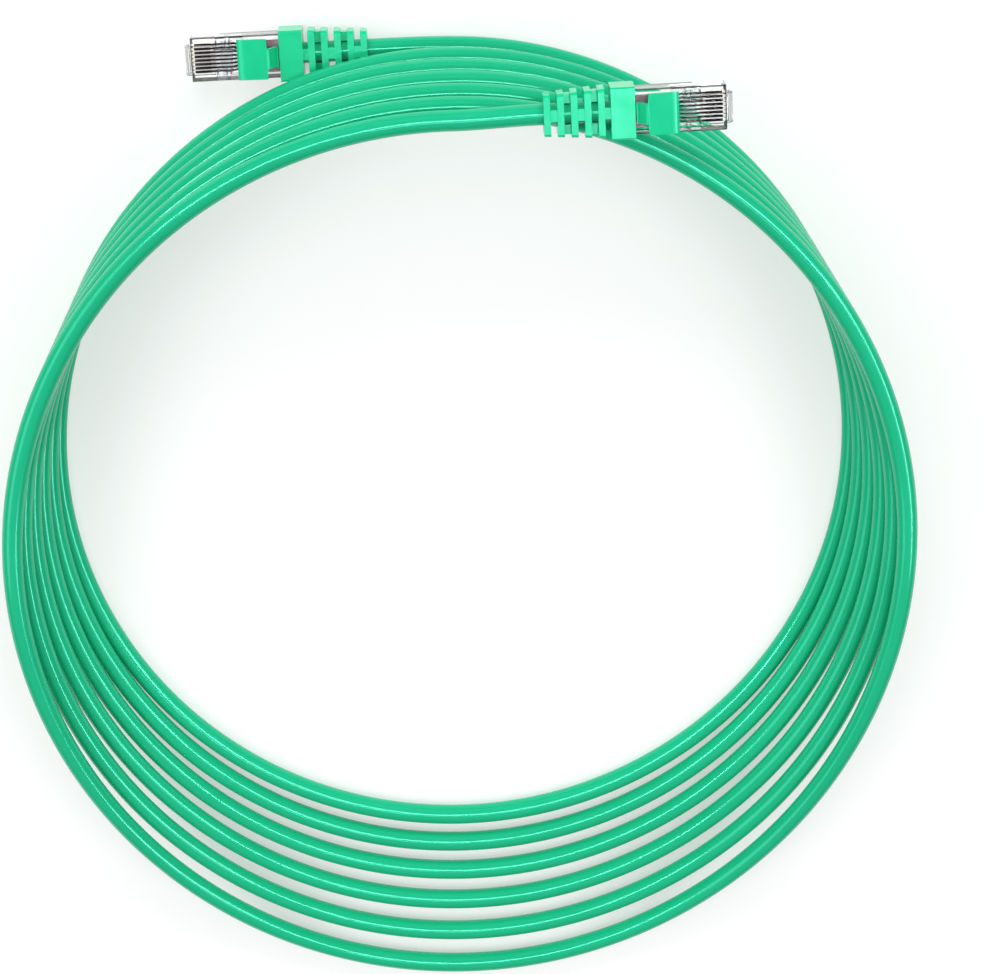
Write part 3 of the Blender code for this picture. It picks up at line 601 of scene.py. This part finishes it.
def moulded_finish_group():
    """Moulded plastic: soft mottling of the colour, uneven gloss and a fine even grain."""
    tree, given, join = finish_group(
        "moulded_finish", "Mottling", "Grain Depth", ("Grain Size", "NodeSocketFloat", 4000.0))
    place = add_node(tree, "ShaderNodeTexCoord").outputs["Object"]
    cloud = add_node(tree, "ShaderNodeTexNoise", {"Vector": place, "Scale": 260.0, "Detail": 3.0})
    grain = add_node(
        tree, "ShaderNodeTexNoise",
        {"Vector": place, "Scale": given.outputs["Grain Size"], "Detail": 2.0})
    return join(cloud.outputs["Fac"], grain.outputs["Fac"])


def extruded_finish_group():
    """Extruded jacket: faint lines that run along it, long slow changes of tone and gloss."""
    tree, _, join = finish_group("extruded_finish", "Tone Change", "Line Depth")
    place = add_node(tree, "ShaderNodeUVMap", uv_map="along").outputs["UV"]
    slow = add_node(tree, "ShaderNodeMapping", {"Vector": place, "Scale": (24.0, 2.0, 1.0)})
    cloud = add_node(
        tree, "ShaderNodeTexNoise", {"Vector": slow.outputs[0], "Scale": 1.0, "Detail": 3.0})
    fine = add_node(tree, "ShaderNodeMapping", {"Vector": place, "Scale": (30.0, 90.0, 1.0)})
    lines = add_node(
        tree, "ShaderNodeTexNoise", {"Vector": fine.outputs[0], "Scale": 1.0, "Detail": 2.0})
    return join(cloud.outputs["Fac"], lines.outputs["Fac"])


def new_material(name, group, values, **constants):
    """A Principled material fed by a finish group, its constants on the shader's own sockets."""
    material = bpy.data.materials.new(name)
    material.use_nodes = True
    tree = material.node_tree
    shader = tree.nodes["Principled BSDF"]
    finish = add_node(tree, "ShaderNodeGroup", node_tree=group)
    for key, value in values.items():
        finish.inputs[key].default_value = value
    tree.links.new(finish.outputs["Colour"], shader.inputs["Base Color"])
    tree.links.new(finish.outputs["Roughness"], shader.inputs["Roughness"])
    tree.links.new(finish.outputs["Normal"], shader.inputs["Normal"])
    for key, value in constants.items():
        shader.inputs[key.replace("_", " ")].default_value = value
    return material


def let_light_through(material, kept):
    """Lets a clear piece keep only this share of its shadow on what is inside and behind it."""
    tree = material.node_tree
    path = add_node(tree, "ShaderNodeLightPath")
    alpha = add_node(
        tree, "ShaderNodeMath", {0: path.outputs["Is Shadow Ray"], 1: kept - 1.0, 2: 1.0},
        operation="MULTIPLY_ADD")
    tree.links.new(alpha.outputs[0], tree.nodes["Principled BSDF"].inputs["Alpha"])


def reckon(tree, operation, first, second=0.0):
    """The output of one Math node that takes its inputs from values or other outputs."""
    return add_node(
        tree, "ShaderNodeMath", {0: first, 1: second}, operation=operation).outputs[0]


def painted_edge_shade_group(name, distance):
    """A group that puts out 1 along a piece's edges and 0 elsewhere: the mask of their painted
    shade.

    distance makes, from the place in the plug's own coordinates, a length that is 0 at an edge
    and grows away from it. The band of painted shade is as wide as the edge shade's width and
    fades over its last quarter.
    """
    tree, given, out = new_group(
        name, (("Place", "NodeSocketVector", (0.0, 0.0, 0.0)),), (("Mask", "NodeSocketFloat"),))
    axes = add_node(tree, "ShaderNodeSeparateXYZ", {"Vector": given.outputs["Place"]}).outputs
    mask = add_node(
        tree, "ShaderNodeMapRange",
        {"Value": distance(tree, axes), "From Min": EDGE_SHADE_WIDTH * 0.75, "From Max": EDGE_SHADE_WIDTH,
         "To Min": 1.0, "To Max": 0.0})
    tree.links.new(mask.outputs[0], out.inputs["Mask"])
    return tree


def housing_edges(tree, axes):
    """The distance to the housing's outer edges and to the borders of its windows.

    The distances to the nose face, the nearer side face and the nearer broad face are put in
    order: the middle one is small only along an edge. Round a window the distance is
    |max(|x - its middle| - half length, ||y| - its middle| - half width)|.
    """
    to_nose = reckon(tree, "SUBTRACT", 0.0, axes["X"])
    off_axis = reckon(tree, "ABSOLUTE", axes["Y"])
    to_side = reckon(tree, "SUBTRACT", HOUSING_WIDTH / 2, off_axis)
    to_face = reckon(tree, "SUBTRACT", HOUSING_HALF, reckon(tree, "ABSOLUTE", axes["Z"]))
    nearer = reckon(tree, "MINIMUM", to_nose, to_side)
    further = reckon(tree, "MAXIMUM", to_nose, to_side)
    line = reckon(tree, "MAXIMUM", nearer, reckon(tree, "MINIMUM", further, to_face))
    middle_y, half_y = sum(WINDOW_ACROSS) / 2, (WINDOW_ACROSS[1] - WINDOW_ACROSS[0]) / 2
    for rear, front in WINDOW_SPANS:
        off_x = reckon(tree, "ABSOLUTE", reckon(tree, "SUBTRACT", axes["X"], (rear + front) / 2))
        off_y = reckon(tree, "ABSOLUTE", reckon(tree, "SUBTRACT", off_axis, middle_y))
        past_x = reckon(tree, "SUBTRACT", off_x, (front - rear) / 2)
        past_y = reckon(tree, "SUBTRACT", off_y, half_y)
        border = reckon(tree, "ABSOLUTE", reckon(tree, "MAXIMUM", past_x, past_y))
        line = reckon(
            tree, "MINIMUM", line, reckon(tree, "ADD", border, EDGE_SHADE_WIDTH - WINDOW_SHADE_WIDTH))
    return line


def latch_edges(tree, axes):
    """The distance to the latch's long edges, which step in at its shoulders, and its nose."""
    off_axis = reckon(tree, "ABSOLUTE", axes["Y"])
    ahead = reckon(tree, "GREATER_THAN", axes["X"], LATCH_SHOULDER)
    half_width = add_node(
        tree, "ShaderNodeMapRange",
        {"Value": ahead, "To Min": LATCH_TAIL_WIDTH / 2, "To Max": LATCH_WIDTH / 2}).outputs[0]
    to_side = reckon(tree, "SUBTRACT", half_width, off_axis)
    tip = LATCH_LOOP_CENTRE[0] + LATCH_LOOP + LATCH_THICKNESS / 2
    to_tip = reckon(tree, "SUBTRACT", tip, axes["X"])
    nearest = reckon(tree, "MINIMUM", to_side, to_tip)
    return reckon(tree, "ADD", nearest, EDGE_SHADE_WIDTH - LATCH_SHADE_WIDTH)


def paint_edge_shade(material, letter, line, depth):
    """Paints shade along a clear piece's edges, which catch no light, from its plug's own
    coordinates.
    """
    tree = material.node_tree
    shader = tree.nodes["Principled BSDF"]
    nose, ahead = PLACES[letter]([(0, 0, 0), (1, 0, 0)])
    turn = math.atan2(*(ahead - nose)[[1, 0]])
    place = add_node(tree, "ShaderNodeTexCoord").outputs["Object"]
    own = add_node(
        tree, "ShaderNodeMapping",
        {"Vector": place, "Location": tuple(nose), "Rotation": (0.0, 0.0, turn)},
        vector_type="TEXTURE")
    mask = add_node(tree, "ShaderNodeGroup", node_tree=line)
    tree.links.new(own.outputs[0], mask.inputs["Place"])
    # painted shade: the base colour darkened along the edges
    shade = add_node(
        tree, "ShaderNodeMapRange",
        {"Value": mask.outputs["Mask"], "To Min": 1.0, "To Max": 1.0 - depth})
    tinted = add_node(
        tree, "ShaderNodeVectorMath",
        {0: shader.inputs["Base Color"].links[0].from_socket, 1: shade.outputs[0]},
        operation="MULTIPLY")
    tree.links.new(tinted.outputs[0], shader.inputs["Base Color"])


def make_materials():
    """Every finish of the cable, by name."""
    moulded = moulded_finish_group()
    extruded = extruded_finish_group()
    made = {
        "cord": new_material(
            "cord_jacket", extruded,
            {"Colour": (0.008, 0.4, 0.194, 1.0), "Tone Change": 0.16, "Gloss Low": 0.1,
             "Gloss High": 0.18, "Line Depth": 0.015}, IOR=PLASTIC_IOR, Specular_Tint=GREEN_SHEEN),
        "boot": new_material(
            "boot_moulding", moulded,
            {"Colour": (0.007, 0.51, 0.235, 1.0), "Mottling": 0.1, "Gloss Low": 0.14,
             "Gloss High": 0.22, "Grain Size": 3600.0, "Grain Depth": 0.1},
            IOR=PLASTIC_IOR, Specular_Tint=GREEN_SHEEN),
        "bar": new_material(
            "load_bar_polycarbonate", moulded,
            {"Colour": (0.9, 0.92, 0.93, 1.0), "Mottling": 0.03, "Gloss Low": 0.05,
             "Gloss High": 0.14, "Grain Size": 1500.0, "Grain Depth": 0.05},
            Transmission_Weight=1.0, IOR=PLASTIC_IOR, Specular_Tint=DULL_SHEEN),
        "gold": new_material(
            "contact_plating", moulded,
            {"Colour": (0.83, 0.58, 0.22, 1.0), "Mottling": 0.14, "Gloss Low": 0.18,
             "Gloss High": 0.34, "Grain Size": 6000.0, "Grain Depth": 0.06}, Metallic=1.0),
        "black": new_material(
            "conductor_insulation", moulded,
            {"Colour": (0.006, 0.005, 0.006, 1.0), "Mottling": 0.3, "Gloss Low": 0.3,
             "Gloss High": 0.5, "Grain Size": 5000.0, "Grain Depth": 0.1},
            Specular_Tint=(0.1, 0.1, 0.1, 1.0)),
        "grey": new_material(
            "strain_relief_plastic", moulded,
            {"Colour": (0.075, 0.045, 0.058, 1.0), "Mottling": 0.2, "Gloss Low": 0.35,
             "Gloss High": 0.5, "Grain Size": 3000.0, "Grain Depth": 0.15}),
    }
    # painted shade along the edges of the clear housings and latches, for their dark outline look
    lines = {
        "housing": (painted_edge_shade_group("housing_painted_edge_shade", housing_edges), HOUSING_PAINTED_SHADE),
        "latch": (painted_edge_shade_group("latch_painted_edge_shade", latch_edges), LATCH_PAINTED_SHADE),
    }
    for kind, (line, depth) in lines.items():
        for letter in "ab":
            clear = new_material(
                kind + "_" + letter + "_polycarbonate", moulded,
                {"Colour": (0.96, 0.965, 0.97, 1.0), "Mottling": 0.02, "Gloss Low": 0.02,
                 "Gloss High": 0.05, "Grain Size": 900.0, "Grain Depth": 0.02},
                Transmission_Weight=1.0, IOR=PLASTIC_IOR, Specular_Tint=DULL_SHEEN)
            paint_edge_shade(clear, letter, line, depth)
            let_light_through(clear, CLEAR_SHADE)
            made[kind + "_" + letter] = clear
    let_light_through(made["bar"], BAR_SHADE)
    return made


def dress_nodes(materials):
    """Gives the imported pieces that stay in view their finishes, by how their names start."""
    chosen = {
        "housing_a": "housing_a", "housing_b": "housing_b", "load_bar_": "bar",
        "strain_relief_": "grey", "contact_": "gold",
    }
    for name, node in frame["nodes"].items():
        for start, finish in chosen.items():
            if name.startswith(start):
                node.data.materials.clear()
                node.data.materials.append(materials[finish])


# ---------------------------------------------------------------- floor, light and camera

def make_floor():
    """A wide pale floor with a slight glow of its own and a faint unevenness of tone."""
    reach = 6.0
    mesh = bpy.data.meshes.new("floor")
    mesh.from_pydata([(-reach, -reach, 0), (reach, -reach, 0), (reach, reach, 0),
                      (-reach, reach, 0)], [], [(0, 1, 2, 3)])
    floor = bpy.data.objects.new("floor", mesh)
    bpy.context.scene.collection.objects.link(floor)
    material = bpy.data.materials.new("pale_floor")
    material.use_nodes = True
    tree = material.node_tree
    place = add_node(tree, "ShaderNodeTexCoord").outputs["Object"]
    cloud = add_node(tree, "ShaderNodeTexNoise", {"Vector": place, "Scale": 3.0, "Detail": 2.0})
    tone = add_node(
        tree, "ShaderNodeMapRange",
        {"Value": cloud.outputs["Fac"], "To Min": FLOOR_TONE[0], "To Max": FLOOR_TONE[1]})
    shader = tree.nodes["Principled BSDF"]
    tree.links.new(tone.outputs[0], shader.inputs["Base Color"])
    shader.inputs["Roughness"].default_value = 0.7
    shader.inputs["Specular IOR Level"].default_value = 0.2
    shader.inputs["Emission Color"].default_value = (1.0, 1.0, 1.0, 1.0)
    shader.inputs["Emission Strength"].default_value = FLOOR_GLOW
    mesh.materials.append(material)


def area_light(name, place, aim, size, power, lights=True, glints=True):
    """A rectangular lamp that faces a point. It lights surfaces, shows in gloss, or both."""
    lamp = bpy.data.lights.new(name, "AREA")
    lamp.shape = "RECTANGLE"
    lamp.size, lamp.size_y = size
    lamp.energy = power
    item = bpy.data.objects.new(name, lamp)
    item.location = place
    item.rotation_euler = (Vector(aim) - Vector(place)).to_track_quat("-Z", "Y").to_euler()
    item.visible_diffuse = lights
    item.visible_glossy = glints
    bpy.context.scene.collection.objects.link(item)


def make_world():
    """Pale to the eye; what the pieces reflect is bright overhead and dim near the horizon."""
    world = bpy.data.worlds.new("studio")
    bpy.context.scene.world = world
    world.use_nodes = True
    tree = world.node_tree
    place = add_node(tree, "ShaderNodeTexCoord").outputs["Generated"]
    height = add_node(tree, "ShaderNodeSeparateXYZ", {"Vector": place}).outputs["Z"]
    sky = add_node(
        tree, "ShaderNodeMapRange",
        {"Value": height, "From Min": SKY_HEIGHT[0], "From Max": SKY_HEIGHT[1],
         "To Min": SKY_LEVEL[0], "To Max": SKY_LEVEL[1]})
    seen = add_node(tree, "ShaderNodeLightPath").outputs["Is Camera Ray"]
    level = add_node(
        tree, "ShaderNodeMix", {"Factor": seen, "A": sky.outputs[0], "B": SEEN_LEVEL})
    tree.links.new(level.outputs[0], tree.nodes["Background"].inputs["Color"])


def make_light():
    """Soft lamps at the left, the right and the rear, the world as fill, and for the gloss a
    long strip almost overhead with two panels beside it."""
    aim = (0.0, -0.12, 0.0)
    area_light("left_key", (-1.9, -0.5, 1.9), aim, (1.6, 1.2), 20.0)
    area_light("right_fill", (1.9, -0.6, 2.2), aim, (1.4, 1.0), 14.0)
    area_light("rear_fill", (0.0, 2.0, 1.0), aim, (2.0, 1.0), 40.0, glints=False)
    area_light("strip", (0.0, 0.31, 2.5), (0.0, 0.31, 0.0), (4.8, 0.34), 135.0, lights=False)
    area_light("panel", (0.28, -0.41, 2.5), (0.28, -0.41, 0.0), (0.46, 0.2), 4.6, lights=False)
    area_light("side_panel", (2.5, -0.45, 2.3), aim, (2.4, 0.5), 56.0, lights=False)
    make_world()


def make_camera():
    """Looks almost straight down from above the coil's rear."""
    camera = bpy.data.cameras.new("camera")
    camera.lens = 102.7
    camera.sensor_width = 36.0
    camera.sensor_fit = "HORIZONTAL"
    camera.clip_start = 0.01
    item = bpy.data.objects.new("camera", camera)
    item.location = (-0.01152, 0.12355, 0.7686)
    item.rotation_euler = (-0.3054, -0.0317, 0.0)
    bpy.context.scene.collection.objects.link(item)
    bpy.context.scene.camera = item


make_camera()
finishes = make_materials()
make_cord(finishes["cord"])
for end in "ab":
    make_boot(end, finishes["boot"])
    make_tongue(end, finishes["boot"])
    make_latch(end, finishes["latch_" + end])
    for wire_way in range(WAYS):
        make_conductor(end, wire_way, finishes["black"])
dress_nodes(finishes)
make_floor()
make_light()
bpy.context.scene.view_settings.view_transform = "Standard"
